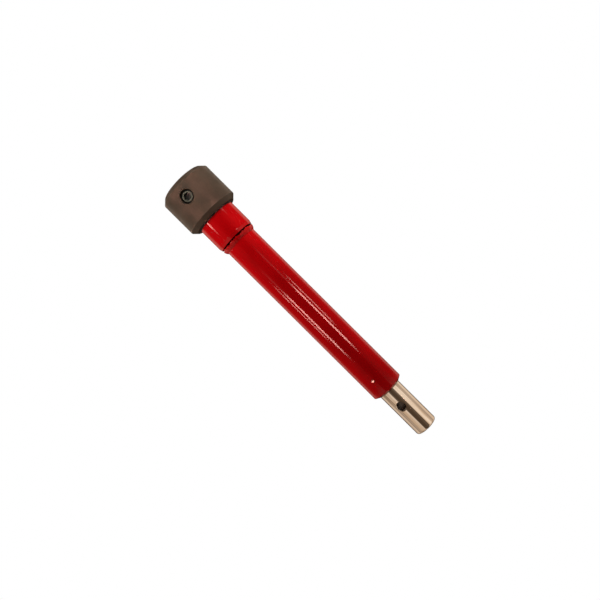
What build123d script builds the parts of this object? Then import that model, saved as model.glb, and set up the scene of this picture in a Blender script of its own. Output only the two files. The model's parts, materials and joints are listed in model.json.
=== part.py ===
"""Slide-hammer post driver, in millimetres.

A steel drive rod runs up inside a barrel tube. Its lower end is the shank that is pinned into a post
cup. The barrel is lifted by hand and thrown down, so that the striker plug in its top hits the anvil
on top of the rod. A heavy cap, locked by a set screw, closes the barrel and can be struck as well.

Frame: +Z up along the rod, origin at the centre of the shank's lower face. The -Y side is the front.
"""

import os
from math import cos, radians, sin, sqrt

from build123d import *

# ------------------------------------------------ driving dimensions
# heights above the shank's lower face
MOUTH_BOTTOM = 48.6
TUBE_BOTTOM = 51.7
COLLAR_BOTTOM = 243.5
COLLAR_TOP = 269.6
CAP_BOTTOM = 270.3
CAP_TOP = 312.7

# bought-in bar and tube sizes
SHANK_R = 11.11
GUIDE_R = 9.52
TUBE_R = 15.875
TUBE_BORE_R = 12.70
COLLAR_R = 19.05
CAP_R = 26.4

# fits
PRESS = 0.02
SLIP = 0.04
RUNNING = 0.05
TOUCH = 0.05

# drive rod and shank
SHANK_ROUND = 2.0
SHOULDER_Z = MOUTH_BOTTOM + 0.6
SHOULDER_CHAMFER = 0.8
LATHE_CENTRE_R = 2.4
HITCH_HOLE_Z = 31.0
HITCH_HOLE_R = 4.15
HITCH_SINK = 0.9

# striking stack, from the barrel's top down
CAP_ROOF = 12.0
BARREL_TOP = CAP_TOP - CAP_ROOF
STRIKER_LENGTH = 30.0
STRIKER_Z = BARREL_TOP - STRIKER_LENGTH
ANVIL_LENGTH = 25.0
ANVIL_TOP = STRIKER_Z - TOUCH
ANVIL_Z = ANVIL_TOP - ANVIL_LENGTH
ANVIL_R = 12.4
SPIGOT_R = 7.0
SPIGOT_LENGTH = 16.0
SPIGOT_CHAMFER = 1.0
TURNED_EDGE = 0.8
ANVIL_PIN_R = 2.5
ANVIL_PIN_Z = ANVIL_Z + 9.6
ANVIL_PIN_WALL = 1.0
ANVIL_PIN_SLOT = 0.6
WEAR_RING_H = 3.4
WEAR_RING_Z = (ANVIL_Z + 2.2, ANVIL_Z + 15.2)
WEAR_RING_DEPTH = 1.5
WEAR_RING_GAP = 1.5

# lower end of the barrel, from its mouth up
MOUTH_NOSE_R = 12.1
MOUTH_BORE_R = 11.5
MOUTH_TAPER = 2.3
MOUTH_SPIGOT = 3.5
WIPER_WASHER_Z = TUBE_BOTTOM + MOUTH_SPIGOT + TOUCH
WIPER_WASHER_H = 1.0
WIPER_Z = WIPER_WASHER_Z + WIPER_WASHER_H + TOUCH
WIPER_H = 4.8
BUSH_Z = WIPER_Z + WIPER_H + TOUCH
BUSH_H = 30.0
BUSH_CHAMFER = 0.5
GREASE_GROOVE_Z = (BUSH_Z + 14.0, BUSH_Z + 21.0)
GREASE_GROOVE_H = 1.8
GREASE_GROOVE_DEPTH = 0.8
BUSH_PIN_Z = 65.8
BUSH_PIN_R = 1.9
BUSH_PIN_IN = 10.9
BUSH_PIN_OUT = TUBE_R + 0.45
BUSH_PIN_DOME = 1.2
BUMPER_Z = BUSH_Z + BUSH_H + TOUCH
BUMPER_H = 12.0
RING_CLEAR = 0.3
WASHER_Z = BUMPER_Z + BUMPER_H + TOUCH
WASHER_H = 3.0

# collar and its weld
COLLAR_NOSE = 3.0
COLLAR_LIP = 0.8
COLLAR_ROUND = 1.2
COLLAR_EDGE = 0.5
WELD_LENGTH = 6.2
WELD_HEIGHT = 2.2
WELD_BULGE = 0.25

# cap and its set screw
CAP_CHAMFER = 4.2
CAP_EDGE = 0.7
BORE_CHAMFER = 0.6
SCREW_Z = 296.3
SCREW_TURN_DEG = 8.0
SCREW_R = 6.35
SCREW_HOLE_R = SCREW_R + 0.05
SCREW_OUT = CAP_R - 2.5
SCREW_FLAT = 15.2
SCREW_PAD_H = 1.8
SCREW_LENGTH = SCREW_OUT - SCREW_FLAT - TOUCH - SCREW_PAD_H
HEX_FLATS = 6.35
HEX_DEPTH = 4.0
SCREW_END_CHAMFER = 1.7
SCREW_HOLE_EDGE = 0.5
SCREW_TIP = SCREW_OUT - SCREW_LENGTH
SCREW_TIP_CHAMFER = 0.6
PAD_R = 4.2
PAD_EDGE = 0.3
PAD_STEM_R = 1.8
PAD_STEM = 1.2
PAD_STEM_CLEAR = 0.08
DOWEL_R = 4.0
DOWEL_CHAMFER = 0.5
DOWEL_Z = BARREL_TOP - 15.0

# local frames: z_dir points out of the barrel along each cross feature
FRONT = Plane(origin=(0, 0, HITCH_HOLE_Z), x_dir=(1, 0, 0), z_dir=(0, -1, 0))
SCREW_OUTWARD = Vector(sin(radians(SCREW_TURN_DEG)), -cos(radians(SCREW_TURN_DEG)), 0)


def screw_plane(distance):
    """A plane square to the set screw's axis, this far out from the barrel's axis."""
    return Plane(
        origin=SCREW_OUTWARD * distance + Vector(0, 0, SCREW_Z),
        x_dir=(0, 0, 1),
        z_dir=tuple(SCREW_OUTWARD),
    )


def cross_plane(height, direction, distance=0.0):
    """A plane square to a horizontal direction, this far out from the barrel's axis."""
    out = Vector(*direction)
    return Plane(origin=out * distance + Vector(0, 0, height), x_dir=(0, 0, 1), z_dir=direction)


def save(part, name):
    """Labels a finished piece and writes its STEP file."""
    part.label = name
    export_step(part, f"parts/{name}.step")


os.makedirs("parts", exist_ok=True)

# ------------------------------------------------ drive rod: shank, guide length, spigot
with BuildPart() as drive_rod:
    with BuildSketch(Plane.XZ):
        with BuildLine():
            Polyline(
                (0, 0),
                (SHANK_R, 0),
                (SHANK_R, SHOULDER_Z - SHOULDER_CHAMFER),
                (SHANK_R - SHOULDER_CHAMFER, SHOULDER_Z),
                (GUIDE_R, SHOULDER_Z),
                (GUIDE_R, ANVIL_Z - TOUCH),
                (SPIGOT_R, ANVIL_Z - TOUCH),
                (SPIGOT_R, ANVIL_Z + SPIGOT_LENGTH - SPIGOT_CHAMFER),
                (SPIGOT_R - SPIGOT_CHAMFER, ANVIL_Z + SPIGOT_LENGTH),
                (0, ANVIL_Z + SPIGOT_LENGTH),
                close=True,
            )
        make_face()
    revolve(axis=Axis.Z)
    fillet(drive_rod.edges().filter_by(GeomType.CIRCLE).group_by(Axis.Z)[0], SHANK_ROUND)
    # cross hole for the hitch pin, countersunk from both sides
    with BuildSketch(FRONT):
        Circle(HITCH_HOLE_R)
    extrude(amount=SHANK_R + 1, both=True, mode=Mode.SUBTRACT)
    for side in (1, -1):
        with BuildSketch(FRONT.offset(side * (SHANK_R - HITCH_SINK))):
            Circle(HITCH_HOLE_R)
        with BuildSketch(FRONT.offset(side * SHANK_R)):
            Circle(HITCH_HOLE_R + HITCH_SINK)
        loft(mode=Mode.SUBTRACT)
    # cross hole for the pin that holds the anvil
    with BuildSketch(cross_plane(ANVIL_PIN_Z, (0, -1, 0))):
        Circle(ANVIL_PIN_R)
    extrude(amount=SHANK_R, both=True, mode=Mode.SUBTRACT)
    # lathe centre in the shank's end
    Cone(
        bottom_radius=LATHE_CENTRE_R,
        top_radius=LATHE_CENTRE_R / 3,
        height=LATHE_CENTRE_R,
        align=(Align.CENTER, Align.CENTER, Align.MIN),
        mode=Mode.SUBTRACT,
    )
save(drive_rod.part, "drive_rod")

# ------------------------------------------------ anvil on top of the rod
with BuildPart() as anvil_head:
    with Locations((0, 0, ANVIL_Z)):
        Cylinder(ANVIL_R, ANVIL_LENGTH, align=(Align.CENTER, Align.CENTER, Align.MIN))
    chamfer(anvil_head.edges().filter_by(GeomType.CIRCLE), TURNED_EDGE)
    with Locations((0, 0, ANVIL_Z)):
        Cylinder(
            SPIGOT_R + PRESS,
            SPIGOT_LENGTH + 0.5,
            align=(Align.CENTER, Align.CENTER, Align.MIN),
            mode=Mode.SUBTRACT,
        )
    for ring_z in WEAR_RING_Z:
        with BuildSketch(Plane.XY.offset(ring_z)):
            Circle(ANVIL_R + 1)
            Circle(ANVIL_R - WEAR_RING_DEPTH, mode=Mode.SUBTRACT)
        extrude(amount=WEAR_RING_H + 0.1, mode=Mode.SUBTRACT)
    with BuildSketch(cross_plane(ANVIL_PIN_Z, (0, -1, 0))):
        Circle(ANVIL_PIN_R)
    extrude(amount=ANVIL_R + 1, both=True, mode=Mode.SUBTRACT)
save(anvil_head.part, "anvil_head")

with BuildPart() as anvil_cross_pin:
    with BuildSketch(cross_plane(ANVIL_PIN_Z, (0, -1, 0))):
        Circle(ANVIL_PIN_R - PRESS)
        Circle(ANVIL_PIN_R - ANVIL_PIN_WALL, mode=Mode.SUBTRACT)
        with Locations((ANVIL_PIN_R, 0)):
            Rectangle(2 * ANVIL_PIN_R, ANVIL_PIN_SLOT, mode=Mode.SUBTRACT)
    extrude(amount=ANVIL_R - 0.6, both=True)
save(anvil_cross_pin.part, "anvil_cross_pin")

with BuildPart() as anvil_wear_rings:
    for ring_z in WEAR_RING_Z:
        with BuildSketch(Plane.XY.offset(ring_z + 0.05)):
            Circle(TUBE_BORE_R - RUNNING)
            Circle(ANVIL_R - WEAR_RING_DEPTH + 0.05, mode=Mode.SUBTRACT)
            with Locations((TUBE_BORE_R, 0)):
                Rectangle(4 * WEAR_RING_DEPTH, WEAR_RING_GAP, mode=Mode.SUBTRACT)
        extrude(amount=WEAR_RING_H)
save(anvil_wear_rings.part, "anvil_wear_rings")

# ------------------------------------------------ rebound stack, which rides on the guide bush
with BuildPart() as rebound_bumper:
    with BuildSketch(Plane.XY.offset(BUMPER_Z)):
        Circle(TUBE_BORE_R - RING_CLEAR)
        Circle(GUIDE_R + RING_CLEAR, mode=Mode.SUBTRACT)
    extrude(amount=BUMPER_H)
    fillet(rebound_bumper.edges().filter_by(GeomType.CIRCLE), TURNED_EDGE)
save(rebound_bumper.part, "rebound_bumper")

with BuildPart() as bumper_washer:
    with BuildSketch(Plane.XY.offset(WASHER_Z)):
        Circle(TUBE_BORE_R - RING_CLEAR)
        Circle(GUIDE_R + RING_CLEAR, mode=Mode.SUBTRACT)
    extrude(amount=WASHER_H)
    chamfer(bumper_washer.edges().filter_by(GeomType.CIRCLE), 0.3)
save(bumper_washer.part, "bumper_washer")

# ------------------------------------------------ barrel tube
with BuildPart() as barrel_tube:
    with BuildSketch(Plane.XY.offset(TUBE_BOTTOM)):
        Circle(TUBE_R)
        Circle(TUBE_BORE_R, mode=Mode.SUBTRACT)
    extrude(amount=BARREL_TOP - TUBE_BOTTOM)
    chamfer(barrel_tube.edges().group_by(Axis.Z)[-1].sort_by(SortBy.RADIUS)[-1], BORE_CHAMFER)
    with BuildSketch(cross_plane(BUSH_PIN_Z, (0, -1, 0))):
        Circle(BUSH_PIN_R)
    extrude(amount=TUBE_R + 1, both=True, mode=Mode.SUBTRACT)
    with BuildSketch(cross_plane(DOWEL_Z, (1, 0, 0))):
        Circle(DOWEL_R)
    extrude(amount=TUBE_R + 1, both=True, mode=Mode.SUBTRACT)
    # milled flat that the set screw bears on, open at the top
    with BuildSketch(screw_plane(SCREW_FLAT)):
        with Locations((BARREL_TOP - SCREW_Z - 7, 0)):
            Rectangle(14, 2 * TUBE_R)
    extrude(amount=TUBE_R, mode=Mode.SUBTRACT)
save(barrel_tube.part, "barrel_tube")

# ------------------------------------------------ collar welded on below the cap
with BuildPart() as neck_collar:
    with BuildSketch(Plane.XZ):
        with BuildLine():
            Polyline(
                (TUBE_R + PRESS, COLLAR_BOTTOM),
                (COLLAR_R - COLLAR_LIP, COLLAR_BOTTOM),
                (COLLAR_R, COLLAR_BOTTOM + COLLAR_NOSE),
                (COLLAR_R, COLLAR_TOP - COLLAR_EDGE),
                (COLLAR_R - COLLAR_EDGE, COLLAR_TOP),
                (TUBE_R + PRESS, COLLAR_TOP),
                close=True,
            )
        make_face()
    revolve(axis=Axis.Z)
    fillet(neck_collar.edges().filter_by(GeomType.CIRCLE).group_by(Axis.Z)[1], COLLAR_ROUND)
save(neck_collar.part, "neck_collar")

with BuildPart() as neck_weld:
    with BuildSketch(Plane.XZ):
        with BuildLine():
            toe = (TUBE_R + PRESS, COLLAR_BOTTOM - WELD_LENGTH)
            root = (TUBE_R + PRESS, COLLAR_BOTTOM - PRESS)
            crown = (TUBE_R + WELD_HEIGHT, COLLAR_BOTTOM - PRESS)
            middle = (
                TUBE_R + WELD_HEIGHT / 2 + WELD_BULGE,
                COLLAR_BOTTOM - WELD_LENGTH / 2 - WELD_BULGE,
            )
            ThreePointArc(toe, middle, crown)
            Line(crown, root)
            Line(root, toe)
        make_face()
    revolve(axis=Axis.Z)
save(neck_weld.part, "neck_weld")

# ------------------------------------------------ guide bush and its pins
with BuildPart() as lower_guide_bush:
    with BuildSketch(Plane.XY.offset(BUSH_Z)):
        Circle(TUBE_BORE_R - PRESS)
        Circle(GUIDE_R + RUNNING, mode=Mode.SUBTRACT)
    extrude(amount=BUSH_H)
    chamfer(lower_guide_bush.edges().filter_by(GeomType.CIRCLE), BUSH_CHAMFER)
    # grease grooves inside
    for groove_z in GREASE_GROOVE_Z:
        with BuildSketch(Plane.XY.offset(groove_z)):
            Circle(GUIDE_R + GREASE_GROOVE_DEPTH)
            Circle(GUIDE_R - 1, mode=Mode.SUBTRACT)
        extrude(amount=GREASE_GROOVE_H, mode=Mode.SUBTRACT)
    for side in (1, -1):
        with BuildSketch(cross_plane(BUSH_PIN_Z, (0, -side, 0), BUSH_PIN_IN - 0.1)):
            Circle(BUSH_PIN_R)
        extrude(amount=TUBE_BORE_R, mode=Mode.SUBTRACT)
save(lower_guide_bush.part, "lower_guide_bush")

with BuildPart() as bush_retaining_pins:
    for side in (1, -1):
        with BuildSketch(cross_plane(BUSH_PIN_Z, (0, -side, 0), BUSH_PIN_IN)):
            Circle(BUSH_PIN_R - PRESS)
        extrude(amount=BUSH_PIN_OUT - BUSH_PIN_IN)
    fillet(
        bush_retaining_pins.edges().filter_by(
            lambda edge: edge.geom_type == GeomType.CIRCLE and abs(edge.center().Y) > TUBE_BORE_R
        ),
        BUSH_PIN_DOME,
    )
save(bush_retaining_pins.part, "bush_retaining_pins")

# ------------------------------------------------ wiper at the barrel's mouth
with BuildPart() as rod_wiper:
    with BuildSketch(Plane.XZ):
        with BuildLine():
            Polyline(
                (TUBE_BORE_R - 0.1, WIPER_Z),
                (TUBE_BORE_R - 0.1, WIPER_Z + WIPER_H),
                (TUBE_BORE_R - 2.0, WIPER_Z + WIPER_H),
                (GUIDE_R + 0.7, WIPER_Z + 2.6),
                (GUIDE_R + RUNNING, WIPER_Z + 0.9),
                (GUIDE_R + RUNNING, WIPER_Z + 0.3),
                (GUIDE_R + 0.6, WIPER_Z),
                close=True,
            )
        make_face()
    revolve(axis=Axis.Z)
save(rod_wiper.part, "rod_wiper")

with BuildPart() as wiper_backing_washer:
    with BuildSketch(Plane.XY.offset(WIPER_WASHER_Z)):
        Circle(TUBE_BORE_R - 0.1)
        Circle(GUIDE_R + 0.7, mode=Mode.SUBTRACT)
    extrude(amount=WIPER_WASHER_H)
save(wiper_backing_washer.part, "wiper_backing_washer")

# ------------------------------------------------ tapered ring that closes the mouth
with BuildPart() as mouth_ring:
    with BuildSketch(Plane.XZ):
        with BuildLine():
            Polyline(
                (MOUTH_BORE_R, MOUTH_BOTTOM),
                (MOUTH_NOSE_R, MOUTH_BOTTOM),
                (TUBE_R, MOUTH_BOTTOM + MOUTH_TAPER),
                (TUBE_R, TUBE_BOTTOM),
                (TUBE_BORE_R - PRESS, TUBE_BOTTOM),
                (TUBE_BORE_R - PRESS, TUBE_BOTTOM + MOUTH_SPIGOT),
                (MOUTH_BORE_R, TUBE_BOTTOM + MOUTH_SPIGOT),
                close=True,
            )
        make_face()
    revolve(axis=Axis.Z)
    taper_edge = mouth_ring.edges().filter_by(GeomType.CIRCLE).sort_by(SortBy.RADIUS)[-2:]
    fillet(taper_edge.sort_by(Axis.Z)[0], 0.6)
save(mouth_ring.part, "mouth_ring")

# ------------------------------------------------ striker plug and the dowel that holds it
with BuildPart() as striker_plug:
    with Locations((0, 0, STRIKER_Z)):
        Cylinder(
            TUBE_BORE_R - PRESS, STRIKER_LENGTH, align=(Align.CENTER, Align.CENTER, Align.MIN)
        )
    chamfer(striker_plug.edges().filter_by(GeomType.CIRCLE), TURNED_EDGE)
    with BuildSketch(cross_plane(DOWEL_Z, (1, 0, 0))):
        Circle(DOWEL_R)
    extrude(amount=TUBE_R, both=True, mode=Mode.SUBTRACT)
save(striker_plug.part, "striker_plug")

with BuildPart() as striker_dowel:
    with BuildSketch(cross_plane(DOWEL_Z, (1, 0, 0))):
        Circle(DOWEL_R - PRESS)
    extrude(amount=sqrt(TUBE_R**2 - DOWEL_R**2) - 0.1, both=True)
    chamfer(striker_dowel.edges().filter_by(GeomType.CIRCLE), DOWEL_CHAMFER)
save(striker_dowel.part, "striker_dowel")

with BuildPart() as cap_seal_washer:
    with BuildSketch(Plane.XY.offset(COLLAR_TOP)):
        Circle(COLLAR_R + 1.0)
        Circle(TUBE_R + SLIP, mode=Mode.SUBTRACT)
    extrude(amount=CAP_BOTTOM - COLLAR_TOP - 0.02)
save(cap_seal_washer.part, "cap_seal_washer")

# ------------------------------------------------ strike cap
with BuildPart() as strike_cap:
    with Locations((0, 0, CAP_BOTTOM)):
        Cylinder(CAP_R, CAP_TOP - CAP_BOTTOM, align=(Align.CENTER, Align.CENTER, Align.MIN))
    chamfer(strike_cap.edges().filter_by(GeomType.CIRCLE), CAP_CHAMFER)
    fillet(strike_cap.edges().filter_by(GeomType.CIRCLE), CAP_EDGE)
    with Locations((0, 0, CAP_BOTTOM)):
        Cylinder(
            TUBE_R + SLIP,
            BARREL_TOP + TOUCH - CAP_BOTTOM,
            align=(Align.CENTER, Align.CENTER, Align.MIN),
            mode=Mode.SUBTRACT,
        )
    chamfer(strike_cap.edges().group_by(Axis.Z)[0].sort_by(SortBy.RADIUS)[0], BORE_CHAMFER)
    # threaded hole for the set screw, with a broken edge
    with BuildSketch(screw_plane(TUBE_R - 4)):
        Circle(SCREW_HOLE_R)
    extrude(amount=CAP_R, mode=Mode.SUBTRACT)
    hole_top = SCREW_OUTWARD * CAP_R + Vector(0, 0, SCREW_Z + SCREW_HOLE_R)
    curved_edges = strike_cap.edges().filter_by(GeomType.LINE, reverse=True)
    chamfer(curved_edges.sort_by_distance(hole_top)[0], SCREW_HOLE_EDGE)
save(strike_cap.part, "strike_cap")

# ------------------------------------------------ set screw with a brass tip
with BuildPart() as set_screw_pad:
    with BuildSketch(screw_plane(SCREW_FLAT + TOUCH)):
        Circle(PAD_R)
    extrude(amount=SCREW_PAD_H - 0.04)
    chamfer(set_screw_pad.edges().filter_by(GeomType.CIRCLE), PAD_EDGE)
    with BuildSketch(screw_plane(SCREW_TIP - 0.1)):
        Circle(PAD_STEM_R)
    extrude(amount=PAD_STEM)
save(set_screw_pad.part, "set_screw_pad")

with BuildPart() as cap_set_screw:
    with BuildSketch(screw_plane(SCREW_TIP)):
        Circle(SCREW_R)
    extrude(amount=SCREW_LENGTH)
    inner_end, outer_end = cap_set_screw.faces().filter_by(GeomType.PLANE).sort_by(Axis.Y, reverse=True)
    chamfer(inner_end.edges(), SCREW_TIP_CHAMFER)
    chamfer(outer_end.edges(), SCREW_END_CHAMFER)
    with BuildSketch(screw_plane(SCREW_OUT - HEX_DEPTH)):
        RegularPolygon(HEX_FLATS / 2, 6, major_radius=False)
    extrude(amount=HEX_DEPTH + 1, mode=Mode.SUBTRACT)
    with BuildSketch(screw_plane(SCREW_TIP - 0.5)):
        Circle(PAD_STEM_R + PAD_STEM_CLEAR)
    extrude(amount=PAD_STEM + 0.5, mode=Mode.SUBTRACT)
save(cap_set_screw.part, "cap_set_screw")
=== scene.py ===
import json
from math import cos, pi, radians, sin, tau

import bmesh
import bpy
from mathutils import Matrix, Vector


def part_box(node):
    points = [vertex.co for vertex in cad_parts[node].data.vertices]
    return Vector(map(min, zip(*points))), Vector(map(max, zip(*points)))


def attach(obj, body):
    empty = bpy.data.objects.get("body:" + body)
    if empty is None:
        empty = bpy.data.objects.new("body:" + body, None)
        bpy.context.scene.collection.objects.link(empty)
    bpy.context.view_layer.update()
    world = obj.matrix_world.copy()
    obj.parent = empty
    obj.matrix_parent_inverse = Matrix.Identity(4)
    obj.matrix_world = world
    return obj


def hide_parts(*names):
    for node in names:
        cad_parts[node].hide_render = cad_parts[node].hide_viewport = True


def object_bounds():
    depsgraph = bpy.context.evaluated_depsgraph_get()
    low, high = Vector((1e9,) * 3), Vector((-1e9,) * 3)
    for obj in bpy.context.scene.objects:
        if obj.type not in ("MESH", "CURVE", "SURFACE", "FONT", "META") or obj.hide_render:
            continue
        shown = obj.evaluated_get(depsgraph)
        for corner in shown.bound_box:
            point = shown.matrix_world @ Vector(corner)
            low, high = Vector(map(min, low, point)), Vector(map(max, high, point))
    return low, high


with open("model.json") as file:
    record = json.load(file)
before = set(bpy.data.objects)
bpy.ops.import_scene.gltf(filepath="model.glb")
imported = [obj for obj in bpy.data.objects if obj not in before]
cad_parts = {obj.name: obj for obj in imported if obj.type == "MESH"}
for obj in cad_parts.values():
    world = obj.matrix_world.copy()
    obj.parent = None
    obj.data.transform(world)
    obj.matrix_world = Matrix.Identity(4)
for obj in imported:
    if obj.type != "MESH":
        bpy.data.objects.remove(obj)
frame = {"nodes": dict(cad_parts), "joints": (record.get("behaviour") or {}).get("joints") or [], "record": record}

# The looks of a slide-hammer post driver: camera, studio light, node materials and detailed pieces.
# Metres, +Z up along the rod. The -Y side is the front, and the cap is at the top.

CAD_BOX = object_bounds()
MM = 0.001

# ---------------------------------------------------------------- places read from the frame
LOW, HIGH = CAD_BOX
_, TUBE_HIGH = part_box("barrel_tube")
COLLAR_LOW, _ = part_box("neck_collar")
WELD_LOW, WELD_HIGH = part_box("neck_weld")
CAP_LOW, CAP_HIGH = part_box("strike_cap")
_, ROD_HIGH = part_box("drive_rod")
MOUTH_LOW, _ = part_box("mouth_ring")
_, PIN_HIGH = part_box("bush_retaining_pins")
TUBE_R = TUBE_HIGH.x
CAP_R = CAP_HIGH.x
SHANK_R = ROD_HIGH.x
CROWN_R = WELD_HIGH.x
CAP_CHAMFER = 4.2 * MM
SEAM_REACH = 2.4 * MM
SEAM_DEPTH = 1.7 * MM
TUBE_WALL_LEFT_RED = 2.2 * MM
HITCH = next(mount for mount in frame["record"]["mounts"] if mount["name"] == "hitch_pin_hole")
HITCH_HOLE_Z = HITCH["pos_m"][2]
HITCH_HOLE_R = HITCH["dims"]["r_mm"] * MM

SCREW_JOINT = next(joint for joint in frame["joints"] if joint["name"] == "set_screw_turn")
SCREW_AXIS = Vector(SCREW_JOINT["axis"]).normalized()
SCREW_SIDE = Vector((-SCREW_AXIS.y, SCREW_AXIS.x, 0))
SCREW_HEIGHT = SCREW_JOINT["pos_m"][2]
SCREW_REACH = [vertex.co.dot(SCREW_AXIS) for vertex in frame["nodes"]["cap_set_screw"].data.vertices]
SCREW_TIP, SCREW_END = min(SCREW_REACH), max(SCREW_REACH)
THREADS_PER_INCH = 13
THREAD_DEPTH = 0.58
SCREW_END_CHAMFER = 1.7 * MM
SCREW_TIP_CHAMFER = 0.8 * MM
SOCKET_ACROSS = 6.35 * MM
SOCKET_DEPTH = 4.0 * MM

# ---------------------------------------------------------------- camera
CAMERA_TURN = 20.5
CAMERA_DISTANCE = 0.60
CAMERA_AIM = 0.52
CAMERA_ROLL = 45.17
VIEW_WIDTH = 0.546

# in degrees: turn from the camera, half width and soft edge, then rise, half height and soft edge;
# and last the radiance
REFLECTED_STRIPS = (
    (31.0, 3.0, 3.8, -2.4, 3.0, 1.0, 36),
    (51.5, 1.5, 3.5, -0.6, 2.2, 1.0, 19),
    (-41.5, 3.0, 3.8, -2.4, 3.0, 1.0, 36),
    (-62.0, 1.2, 3.0, -0.9, 2.4, 1.0, 20),
    (31.0, 2.0, 5.0, 3.4, 1.6, 1.0, 1.5),
    (-41.5, 2.0, 5.0, 2.4, 0.7, 1.0, 1.5),
    (-61.0, 2.0, 4.0, 10.4, 0.5, 0.5, 36),
    (55.0, 1.5, 3.0, 10.6, 0.2, 0.4, 12),
)
# turn from the camera and rise in degrees, distance, size and power
SOFTBOXES = (
    (82, 26, 0.5, 0.3, 2.25),
    (-82, 26, 0.5, 0.3, 2.10),
    (0, 58.6, 0.192, 0.08, 0.088),
    (180, 25, 0.5, 0.3, 1.0),
)

TO_CAMERA = Vector((sin(radians(CAMERA_TURN)), -cos(radians(CAMERA_TURN)), 0))
TO_RIGHT = Vector((cos(radians(CAMERA_TURN)), sin(radians(CAMERA_TURN)), 0))
UP = Vector((0, 0, 1))


def make_camera():
    """Looks level at the rod from the front right, rolled so that the cap is up to the left."""
    data = bpy.data.cameras.new("camera")
    data.sensor_width = 36
    data.lens = data.sensor_width * CAMERA_DISTANCE / VIEW_WIDTH
    data.clip_start = 0.01
    camera = bpy.data.objects.new("camera", data)
    roll = radians(CAMERA_ROLL)
    right = TO_RIGHT * cos(roll) - UP * sin(roll)
    up = TO_RIGHT * sin(roll) + UP * cos(roll)
    axes = Matrix((right, up, TO_CAMERA)).transposed()
    aim = Vector((0, 0, LOW.z + CAMERA_AIM * (HIGH.z - LOW.z)))
    camera.matrix_world = Matrix.Translation(aim + TO_CAMERA * CAMERA_DISTANCE) @ axes.to_4x4()
    bpy.context.scene.collection.objects.link(camera)
    bpy.context.scene.camera = camera


# ---------------------------------------------------------------- node graphs
class Graph:
    """Short calls for the nodes of one tree. An input is a value or another node's output."""

    def __init__(self, tree):
        self.tree = tree
        tree.nodes.clear()

    def put(self, socket, value):
        """Links another node's output to an input, or sets the input's own value."""
        if isinstance(value, bpy.types.NodeSocket):
            self.tree.links.new(value, socket)
        else:
            socket.default_value = value

    def node(self, kind, inputs=None, **settings):
        made = self.tree.nodes.new("ShaderNode" + kind)
        for name, value in settings.items():
            setattr(made, name, value)
        for name, value in (inputs or {}).items():
            self.put(made.inputs[name], value)
        return made

    def math(self, operation, a, b=0.0, clamp=False):
        return self.node("Math", {0: a, 1: b}, operation=operation, use_clamp=clamp).outputs[0]

    def times(self, first, *others):
        for other in others:
            first = self.math("MULTIPLY", first, other)
        return first

    def plus(self, a, b, clamp=False):
        return self.math("ADD", a, b, clamp)

    def place(self):
        return self.node("TexCoord").outputs["Object"]

    def split(self, point):
        return self.node("SeparateXYZ", {0: point}).outputs

    def scaled(self, point, scale):
        return self.node("VectorMath", {0: point, 1: scale}, operation="MULTIPLY").outputs[0]

    def dot(self, a, b):
        return self.node("VectorMath", {0: a, 1: b}, operation="DOT_PRODUCT").outputs["Value"]

    def length(self, point):
        return self.node("VectorMath", {0: point}, operation="LENGTH").outputs["Value"]

    def radius(self, point):
        return self.length(self.scaled(point, (1, 1, 0)))

    def noise(self, point, scale, detail=4.0, roughness=0.55, stretch=(1, 1, 1)):
        inputs = {
            "Vector": self.scaled(point, stretch),
            "Scale": scale,
            "Detail": detail,
            "Roughness": roughness,
        }
        return self.node("TexNoise", inputs).outputs[0]

    def step(self, value, start, end, low=0.0, high=1.0):
        """Goes smoothly from low to high as value goes from start to end."""
        inputs = {0: value, 1: start, 2: end, 3: low, 4: high}
        return self.node("MapRange", inputs, interpolation_type="SMOOTHSTEP").outputs[0]

    def band(self, value, middle, half, soft):
        """1 within half of middle, falling to 0 over soft."""
        away = self.math("ABSOLUTE", self.math("SUBTRACT", value, middle))
        return self.step(away, half, half + soft, 1.0, 0.0)

    def colour(self, factor, a, b, blend="MIX"):
        made = self.node("Mix", {0: factor, 6: a, 7: b}, data_type="RGBA", blend_type=blend)
        return made.outputs[2]

    def bump(self, height, distance, strength=1.0, normal=None):
        inputs = {"Height": height, "Distance": distance, "Strength": strength}
        if normal is not None:
            inputs["Normal"] = normal
        return self.node("Bump", inputs).outputs[0]


def rgb(red, green, blue):
    return (red, green, blue, 1.0)


def surface(name):
    """A new material's graph and its object-space point."""
    made = bpy.data.materials.new(name)
    made.use_nodes = True
    graph = Graph(made.node_tree)
    return made, graph, graph.place()


def close(graph, **inputs):
    """Ends a material's graph with its shader. An underscore in a name stands for a space."""
    named = {name.replace("_", " "): value for name, value in inputs.items()}
    shader = graph.node("BsdfPrincipled", named)
    graph.node("OutputMaterial", {"Surface": shader.outputs[0]})


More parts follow.
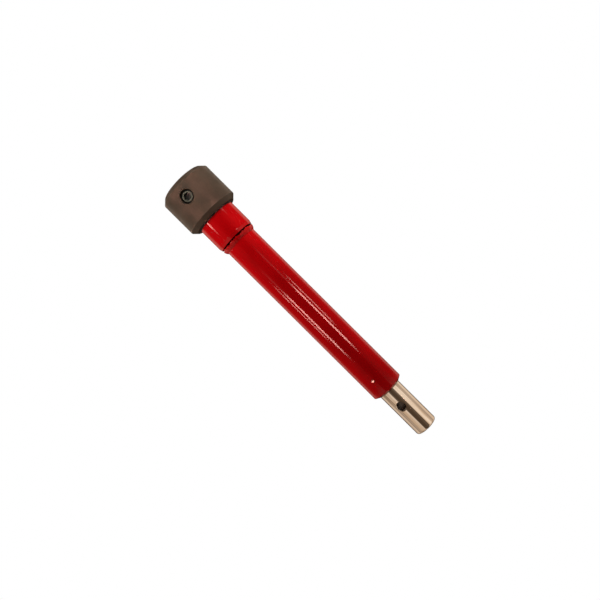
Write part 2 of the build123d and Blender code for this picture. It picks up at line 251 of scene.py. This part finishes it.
# ---------------------------------------------------------------- studio
def make_world():
    """White where the camera sees it. What reflects is a warm light tent with a dark gap at the camera."""
    world = bpy.data.worlds.new("studio")
    bpy.context.scene.world = world
    world.use_nodes = True
    graph = Graph(world.node_tree)
    direction = graph.node("TexCoord").outputs["Generated"]
    ahead = graph.dot(direction, TO_CAMERA)
    aside = graph.dot(direction, TO_RIGHT)
    turn = graph.math("ARCTAN2", aside, ahead)
    rise = graph.math("ARCSINE", graph.dot(direction, UP))
    away = graph.math("ABSOLUTE", turn)

    # bright at both sides of a dark gap, so that the round bar shows light and dark lines along it
    tent = graph.step(away, radians(24), radians(32), 0.10, 0.74)
    for start, end, keep in ((62, 80, 0.55), (96, 112, 1.7), (130, 150, 0.12)):
        tent = graph.times(tent, graph.step(away, radians(start), radians(end), 1.0, keep))
    tent = graph.times(tent, graph.step(turn, radians(-10), radians(10), 1.08, 1.35))
    # the part of it that the barrel reflects is dimmer, with a rim light behind and a fill above for the cap
    at_barrel = graph.step(rise, radians(-10.7), radians(-10.2))
    tent = graph.times(tent, graph.step(at_barrel, 0.0, 1.0, 1.0, 0.18))
    behind = graph.band(away, radians(135), radians(13), radians(8))
    tent = graph.plus(tent, graph.times(behind, at_barrel, 0.75))
    tent = graph.times(tent, graph.step(rise, radians(-27), radians(-20), 0.80, 1.0))
    above = graph.band(rise, radians(16.6), radians(5.6), radians(0.4))
    in_front = graph.step(away, radians(55), radians(80), 1.0, 0.0)
    tent = graph.plus(tent, graph.times(above, in_front, 0.46))
    warm = graph.colour(tent, rgb(0.9, 0.62, 0.42), rgb(1.0, 0.86, 0.72))
    base = graph.node("Background", {"Color": warm, "Strength": tent})

    # soft strips, which only reflect: two lines down each side of the barrel and a spot on the neck
    strips = 0.0
    for turn_at, half_turn, soft_turn, rise_at, half_rise, soft_rise, radiance in REFLECTED_STRIPS:
        across = graph.band(turn, radians(turn_at), radians(half_turn), radians(soft_turn))
        along = graph.band(rise, radians(rise_at), radians(half_rise), radians(soft_rise))
        strips = graph.plus(strips, graph.times(across, along, radiance))
    ray = graph.node("LightPath").outputs
    reflected = graph.times(strips, ray["Is Glossy Ray"])
    strip_glow = graph.node("Background", {"Color": rgb(1.0, 0.52, 0.46), "Strength": reflected})
    glow = graph.node("AddShader", {0: base.outputs[0], 1: strip_glow.outputs[0]})

    white = graph.node("Background", {"Color": rgb(1, 1, 1), "Strength": 1.0})
    both = graph.node("MixShader", {0: ray["Is Camera Ray"], 1: glow.outputs[0], 2: white.outputs[0]})
    graph.node("OutputWorld", {"Surface": both.outputs[0]})


def soft_light(name, turn, rise, distance, size, power):
    """A softbox that lights the paint. The tent of the world is what reflects."""
    data = bpy.data.lights.new(name, "AREA")
    data.shape = "DISK"
    data.size = size
    data.energy = power
    data.color = (1.0, 0.95, 0.88)
    light = bpy.data.objects.new(name, data)
    across = TO_CAMERA * cos(radians(turn)) + TO_RIGHT * sin(radians(turn))
    out = across * cos(radians(rise)) + UP * sin(radians(rise))
    light.location = (LOW + HIGH) / 2 + out * distance
    light.rotation_mode = "QUATERNION"
    light.rotation_quaternion = out.to_track_quat("Z", "Y")
    light.visible_camera = False
    light.visible_glossy = False
    bpy.context.scene.collection.objects.link(light)


def make_floor():
    """A plain white floor well below the object."""
    mesh = bpy.data.meshes.new("floor")
    side, height = 6.0, LOW.z - 0.55
    corners = [(-side, -side, height), (side, -side, height), (side, side, height), (-side, side, height)]
    mesh.from_pydata(corners, [], [(0, 1, 2, 3)])
    floor = bpy.data.objects.new("floor", mesh)
    bpy.context.scene.collection.objects.link(floor)
    made = bpy.data.materials.new("floor")
    made.use_nodes = True
    graph = Graph(made.node_tree)
    glow = graph.node("Emission", {"Color": rgb(1, 1, 1), "Strength": 1.0})
    graph.node("OutputMaterial", {"Surface": glow.outputs[0]})
    mesh.materials.append(made)
    for ray in ("diffuse", "glossy", "transmission", "shadow"):
        setattr(floor, "visible_" + ray, False)


# ---------------------------------------------------------------- materials
def red_paint():
    """Glossy red powder coat outside, bare oiled steel in the tube's bore, painted shade at the mouth's edge and
    in the weld's undercut, and a painted highlight on the pins' crowns.
    """
    made, graph, point = surface("red_paint")
    height = graph.split(point)[2]
    radius = graph.radius(point)
    blotch = graph.noise(point, 60, stretch=(1, 1, 0.4))
    blotch = graph.step(blotch, 0.3, 0.7)
    red = graph.colour(blotch, rgb(0.34, 0.0006, 0.0022), rgb(0.42, 0.0010, 0.003))
    scratch = graph.noise(point, 900, detail=2, stretch=(1, 1, 0.03))
    scratch = graph.step(scratch, 0.70, 0.78)
    patchy = graph.step(graph.noise(point, 45), 0.52, 0.66)
    scuffs = graph.times(scratch, patchy)
    red = graph.colour(graph.times(scuffs, 0.35), red, rgb(0.55, 0.06, 0.05))
    # the mouth's edge, darkened as painted shade where its chamfer faces down
    jagged = graph.plus(height, graph.times(graph.noise(point, 700), 0.5 * MM))
    mouth_shade = graph.step(jagged, MOUTH_LOW.z + 0.5 * MM, MOUTH_LOW.z + 1.0 * MM, 1.0, 0.0)
    red = graph.colour(graph.times(mouth_shade, 0.85), red, rgb(0.05, 0.006, 0.004))
    # the undercut between weld and collar, darkened as painted shade in the groove
    undercut_shade = graph.band(height, COLLAR_LOW.z - SEAM_REACH / 2, SEAM_REACH / 2, 0.1 * MM)
    deep = graph.step(radius, CROWN_R - 1.3 * MM, CROWN_R - 1.0 * MM, 1.0, 0.0)
    red = graph.colour(graph.times(undercut_shade, deep), red, rgb(0.030, 0.003, 0.002))
    # the pins' crowns: a painted highlight, a bright pink spot standing for a glint, also rougher and partly
    # metallic as rubbed-through paint
    crown = graph.step(radius, TUBE_R + 0.22 * MM, TUBE_R + 0.34 * MM)
    crown = graph.times(crown, graph.step(height, PIN_HIGH.z, PIN_HIGH.z + 1.0 * MM, 1.0, 0.0))
    red = graph.colour(crown, red, rgb(0.9, 0.45, 0.40))
    # the bore, which isn't coated
    coated = TUBE_R - TUBE_WALL_LEFT_RED
    bare = graph.step(radius, coated - 0.4 * MM, coated, 1.0, 0.0)
    colour = graph.colour(bare, red, rgb(0.16, 0.14, 0.12))
    roughness = graph.step(graph.noise(point, 120), 0.3, 0.7, 0.045, 0.07)
    roughness = graph.plus(roughness, graph.times(scuffs, 0.25))
    roughness = graph.plus(roughness, graph.times(bare, 0.2), clamp=True)
    roughness = graph.plus(roughness, graph.times(crown, 0.25), clamp=True)
    peel = graph.noise(point, 160, detail=1.0, stretch=(1, 1, 0.5))
    normal = graph.bump(peel, 0.002 * MM)
    normal = graph.bump(graph.times(scuffs, -1), 0.0012 * MM, normal=normal)
    close(
        graph,
        Base_Color=colour,
        Metallic=graph.plus(bare, graph.times(crown, 0.6), clamp=True),
        Roughness=roughness,
        Normal=normal,
        Specular_IOR_Level=0.2,
    )
    return made


def shank_steel():
    """Bright drawn bar: fine lines along it, faint rings at the end, rubbed marks round the cross hole."""
    made, graph, point = surface("shank_steel")
    x, _, height = graph.split(point)
    radius = graph.radius(point)
    lines = graph.noise(point, 2600, detail=3, stretch=(1, 1, 0.004))
    broad = graph.noise(point, 700, detail=3, stretch=(1, 1, 0.02))
    broad = graph.step(broad, 0.36, 0.62)
    rings = graph.noise(point, 3000, detail=2, stretch=(0.01, 0.01, 1))
    tip = graph.step(height, 1.0 * MM, 3.5 * MM, 1.0, 0.0)
    lengthwise = graph.times(lines, graph.math("SUBTRACT", 1.0, tip))
    grain = graph.plus(lengthwise, graph.times(rings, tip))
    stain = graph.step(graph.noise(point, 90, stretch=(1, 1, 0.5)), 0.45, 0.75)
    metal = graph.colour(broad, rgb(0.66, 0.54, 0.42), rgb(0.93, 0.86, 0.79))
    dark_lines = graph.times(graph.step(lines, 0.5, 0.75), 0.35)
    metal = graph.colour(dark_lines, metal, rgb(0.55, 0.43, 0.32))
    metal = graph.colour(graph.times(stain, 0.3), metal, rgb(0.56, 0.43, 0.31))
    # dark brown and dull inside the cross hole, and a rubbed ring round its mouth
    above_hole = graph.math("SUBTRACT", height, HITCH_HOLE_Z)
    hole = graph.length(graph.node("CombineXYZ", {0: x, 1: 0.0, 2: above_hole}).outputs[0])
    rubbed = graph.step(hole, HITCH_HOLE_R + 1.0 * MM, HITCH_HOLE_R + 3.8 * MM, 1.0, 0.0)
    within = graph.step(hole, HITCH_HOLE_R + 0.5 * MM, HITCH_HOLE_R + 0.9 * MM, 1.0, 0.0)
    sunk = graph.step(radius, SHANK_R - 1.1 * MM, SHANK_R - 0.5 * MM, 1.0, 0.0)
    inside = graph.times(within, sunk)
    metal = graph.colour(graph.times(inside, 0.96), metal, rgb(0.070, 0.032, 0.015))
    metallic = graph.math("SUBTRACT", 1.0, graph.times(inside, 0.7))
    roughness = graph.step(grain, 0.3, 0.7, 0.05, 0.08)
    roughness = graph.plus(roughness, graph.times(rubbed, 0.02))
    roughness = graph.plus(roughness, graph.times(inside, 0.35), clamp=True)
    normal = graph.bump(grain, 0.0015 * MM)
    gleam = graph.math("SUBTRACT", 0.5, graph.times(inside, 0.45))
    close(
        graph,
        Base_Color=metal,
        Metallic=metallic,
        Roughness=roughness,
        Normal=normal,
        Specular_IOR_Level=gleam,
    )
    return made


def cap_oxide():
    """Satin brown-black oxide over a turned surface, rubbed lighter on its edges, with painted shade on the lower
    chamfer.
    """
    made, graph, point = surface("cap_oxide")
    height = graph.split(point)[2]
    radius = graph.radius(point)
    turned = graph.noise(point, 2200, detail=2, stretch=(0.02, 0.02, 1))
    mottle = graph.noise(point, 70, detail=5, roughness=0.6)
    fine = graph.noise(point, 900, detail=3)
    mottle = graph.step(mottle, 0.35, 0.68)
    oxide = graph.colour(mottle, rgb(0.040, 0.027, 0.018), rgb(0.064, 0.042, 0.029))
    oxide = graph.colour(graph.times(fine, 0.25), oxide, rgb(0.12, 0.08, 0.055))
    # the lower chamfer, darkened as painted shade where it faces down
    lower_edge, upper_edge = CAP_LOW.z + CAP_CHAMFER, CAP_HIGH.z - CAP_CHAMFER
    chamfer_shade = graph.step(height, lower_edge - 0.4 * MM, lower_edge + 0.2 * MM, 1.0, 0.0)
    oxide = graph.colour(graph.times(chamfer_shade, 0.25), oxide, rgb(0.016, 0.012, 0.006))
    wear = 0.0
    for edge_height in (lower_edge, upper_edge):
        ring = graph.band(height, edge_height, 0.15 * MM, 0.5 * MM)
        outer = graph.step(radius, CAP_R - 0.5 * MM, CAP_R - 0.2 * MM)
        wear = graph.plus(wear, graph.times(ring, outer))
    uneven = graph.step(graph.noise(point, 260), 0.35, 0.65)
    rubbed = graph.math("MULTIPLY", wear, uneven, clamp=True)
    oxide = graph.colour(graph.times(rubbed, 0.15), oxide, rgb(0.25, 0.20, 0.16))
    roughness = graph.step(graph.noise(point, 240), 0.3, 0.7, 0.40, 0.52)
    normal = graph.bump(turned, 0.012 * MM)
    normal = graph.bump(fine, 0.01 * MM, normal=normal)
    close(graph, Base_Color=oxide, Metallic=0.35, Roughness=roughness, Normal=normal)
    return made


def screw_oxide():
    """Black oxide, with a lighter grey-green on the screw's flat end."""
    made, graph, point = surface("screw_oxide")
    along = graph.dot(point, SCREW_AXIS)
    across = graph.dot(point, SCREW_SIDE)
    rise = graph.math("SUBTRACT", graph.split(point)[2], SCREW_HEIGHT)
    flat = graph.node("CombineXYZ", {0: across, 1: rise, 2: 0.0}).outputs[0]
    radius = graph.length(flat)
    grain = graph.noise(point, 1500, detail=3)
    oxide = graph.colour(grain, rgb(0.012, 0.012, 0.012), rgb(0.03, 0.03, 0.028))
    end = graph.step(along, SCREW_END - 0.5 * MM, SCREW_END - 0.2 * MM)
    lighter_end = graph.times(end, graph.step(radius, 4.5 * MM, 4.9 * MM, 1.0, 0.0))
    oxide = graph.colour(lighter_end, oxide, rgb(0.10, 0.105, 0.085))
    roughness = graph.step(graph.noise(point, 240), 0.3, 0.7, 0.3, 0.42)
    normal = graph.bump(grain, 0.006 * MM)
    close(graph, Base_Color=oxide, Metallic=0.4, Roughness=roughness, Normal=normal)
    return made


def machined(name, dark, light, low, high, metallic, stretch, depth):
    """A machined or moulded surface: grain drawn out by stretch, and stains."""
    made, graph, point = surface(name)
    grain = graph.noise(point, 1500, detail=3, stretch=stretch)
    stain = graph.noise(point, 110, detail=4)
    mixed = graph.plus(graph.times(grain, 0.5), graph.times(stain, 0.5))
    colour = graph.colour(graph.step(mixed, 0.35, 0.65), rgb(*dark), rgb(*light))
    roughness = graph.step(stain, 0.3, 0.7, low, high)
    normal = graph.bump(grain, depth)
    close(graph, Base_Color=colour, Metallic=metallic, Roughness=roughness, Normal=normal)
    return made


def make_materials():
    """One material for each slot of the record."""
    turned = (0.02, 0.02, 1)
    drawn = (1, 1, 0.05)
    even = (1, 1, 1)
    # slot: dark and light colour, lowest and highest roughness, metallic, stretch and bump depth
    inner = {
        "tool_steel": ((0.20, 0.19, 0.18), (0.34, 0.33, 0.32), 0.24, 0.38, 1, turned, 0.006 * MM),
        "spring_steel": ((0.10, 0.10, 0.11), (0.2, 0.2, 0.2), 0.25, 0.4, 1, drawn, 0.006 * MM),
        "zinc_steel": ((0.48, 0.48, 0.46), (0.62, 0.62, 0.6), 0.25, 0.4, 1, even, 0.006 * MM),
        "guide_bronze": ((0.42, 0.25, 0.1), (0.6, 0.4, 0.2), 0.25, 0.4, 1, turned, 0.006 * MM),
        "pad_brass": ((0.6, 0.43, 0.17), (0.78, 0.6, 0.3), 0.22, 0.35, 1, turned, 0.006 * MM),
        "wear_acetal": ((0.72, 0.7, 0.64), (0.85, 0.84, 0.8), 0.4, 0.55, 0, turned, 0.006 * MM),
        "bumper_urethane": ((0.42, 0.22, 0.04), (0.6, 0.36, 0.1), 0.3, 0.45, 0, even, 0.02 * MM),
        "wiper_rubber": ((0.012, 0.012, 0.013), (0.03, 0.03, 0.03), 0.5, 0.7, 0, even, 0.03 * MM),
    }
    made = {
        "red_paint": red_paint(),
        "shank_steel": shank_steel(),
        "cap_oxide": cap_oxide(),
        "screw_oxide": screw_oxide(),
    }
    for slot, look in inner.items():
        made[slot] = machined(slot, *look)
    return made


# ---------------------------------------------------------------- pieces
def add_piece(name, mesh, body, slot, node, materials):
    """Puts a finished mesh in place of a CAD node."""
    piece = bpy.data.objects.new(name, mesh)
    bpy.context.scene.collection.objects.link(piece)
    mesh.materials.append(materials[slot])
    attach(piece, body)
    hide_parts(node)
    return piece


def skin(name, rings, closed_along=False):
    """A mesh through closed rings of points. Its two ends are capped, unless they join each other."""
    mesh = bpy.data.meshes.new(name)
    build = bmesh.new()
    rows = [[build.verts.new(point) for point in ring] for ring in rings]
    pairs = list(zip(rows, rows[1:]))
    if closed_along:
        pairs.append((rows[-1], rows[0]))
    for lower, upper in pairs:
        for i in range(len(lower)):
            j = (i + 1) % len(lower)
            build.faces.new((lower[i], lower[j], upper[j], upper[i]))
    if not closed_along:
        build.faces.new(list(reversed(rows[0])))
        build.faces.new(rows[-1])
    bmesh.ops.recalc_face_normals(build, faces=build.faces[:])
    build.to_mesh(mesh)
    build.free()
    return mesh


def waver(angle, *waves):
    """A sum of sines round a ring. Each wave is (turns, phase, size)."""
    return sum(size * sin(turns * angle + phase) for turns, phase, size in waves)


def weld_bead(materials):
    """The painted bead: overlapping crescents, an uneven toe and a ragged undercut at the collar."""
    around, ripples = 720, 62
    toe_radius = TUBE_R - 0.05 * MM
    crown_radius = CROWN_R
    toe_height = WELD_LOW.z
    top_height = COLLAR_LOW.z - 0.02 * MM
    toe_waves = ((5, 0.3, 0.25 * MM), (13, 1.1, 0.15 * MM), (31, 2.0, 0.1 * MM))
    gap_waves = ((7, 2.0, 0.35 * MM), (17, 0.4, 0.3 * MM), (43, 1.5, 0.22 * MM))
    steps = 14
    rings = []
    for k in range(steps + 1):
        along = k / steps
        ring = []
        for i in range(around):
            angle = tau * i / around
            lag = 1.6 * (along - 0.45) ** 2
            ripple = abs(sin(ripples / 2 * (angle + lag * tau / ripples)))
            toe = toe_height + waver(angle, *toe_waves) + 0.5 * MM
            gap = 1.6 * MM + waver(angle, *gap_waves)
            crown = top_height - min(max(gap, 0.9 * MM), SEAM_REACH - 0.1 * MM)
            height = toe + along * (crown - toe)
            radius = toe_radius + along * (crown_radius - toe_radius)
            swell = sin(pi * along)
            radius += swell * (0.35 * MM + 0.03 * MM * (ripple - 0.6))
            ring.append((radius * cos(angle), radius * sin(angle), height))
        rings.append(ring)
    crown_ring = rings[-1]
    under_radius = crown_radius - SEAM_DEPTH
    rings.append(
        [
            (x * under_radius / crown_radius, y * under_radius / crown_radius, z - 0.1 * MM)
            for x, y, z in crown_ring
        ]
    )
    angles = [tau * i / around for i in range(around)]
    for radius in (under_radius, toe_radius):
        rings.append([(radius * cos(angle), radius * sin(angle), top_height) for angle in angles])
    mesh = skin("neck_weld_bead", rings, closed_along=True)
    mesh.shade_smooth()
    add_piece("neck_weld_bead", mesh, "barrel", "red_paint", "neck_weld", materials)


def set_screw(materials):
    """The socket set screw with its cut thread, chamfered end and hexagon socket."""
    low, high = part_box("cap_set_screw")
    radius = (high.z - low.z) / 2
    inner, outer = SCREW_TIP, SCREW_END
    pitch = 25.4 * MM / THREADS_PER_INCH
    thread_depth = THREAD_DEPTH * pitch
    around, per_pitch = 96, 14
    count = round((outer - inner) / pitch * per_pitch)

    def point(angle, distance, along):
        across = SCREW_SIDE * (distance * cos(angle)) + UP * (distance * sin(angle))
        return SCREW_AXIS * along + across + UP * SCREW_HEIGHT

    rings = []
    for k in range(count + 1):
        along = inner + (outer - inner) * k / count
        ring = []
        for i in range(around):
            angle = tau * i / around
            phase = (along / pitch - i / around) % 1.0
            flank = min(max(abs(phase - 0.5) * 2.6 - 0.15, 0), 1)
            distance = radius - thread_depth * (1 - flank)
            from_end = radius - SCREW_END_CHAMFER + (outer - along)
            from_tip = radius - SCREW_TIP_CHAMFER + (along - inner)
            ring.append(point(angle, min(distance, from_end, from_tip), along))
        rings.append(ring)
    socket_half = SOCKET_ACROSS / 2

    def hexagon(along, inset=0.0, scale=1.0):
        ring = []
        for i in range(around):
            angle = tau * i / around
            fold = (angle + pi / 6) % (pi / 3) - pi / 6
            distance = (socket_half + inset) / cos(fold) * scale
            ring.append(point(angle + pi / 2, distance, along))
        return ring

    quarter = around // 4
    turned = [ring[quarter:] + ring[:quarter] for ring in rings]
    turned.append(hexagon(outer, 0.25 * MM))
    turned.append(hexagon(outer - 0.25 * MM))
    turned.append(hexagon(outer - SOCKET_DEPTH))
    turned.append(hexagon(outer - SOCKET_DEPTH - 0.3 * MM, scale=0.6))
    mesh = skin("threaded_set_screw", turned)
    mesh.shade_smooth()
    mesh.set_sharp_from_angle(angle=radians(35))
    add_piece("threaded_set_screw", mesh, "cap_set_screw", "screw_oxide", "cap_set_screw", materials)


def dress_nodes(materials):
    """Gives every CAD node the material of its slot."""
    for entry in frame["record"]["subparts"]:
        mesh = frame["nodes"][entry["node"]].data
        mesh.materials.clear()
        mesh.materials.append(materials[entry["material_slot"]])


# ---------------------------------------------------------------- the scene
bpy.context.scene.view_settings.view_transform = "Standard"
make_camera()
make_world()
make_floor()
for number, softbox in enumerate(SOFTBOXES):
    soft_light(f"softbox_{number}", *softbox)
MATERIALS = make_materials()
dress_nodes(MATERIALS)
weld_bead(MATERIALS)
set_screw(MATERIALS)
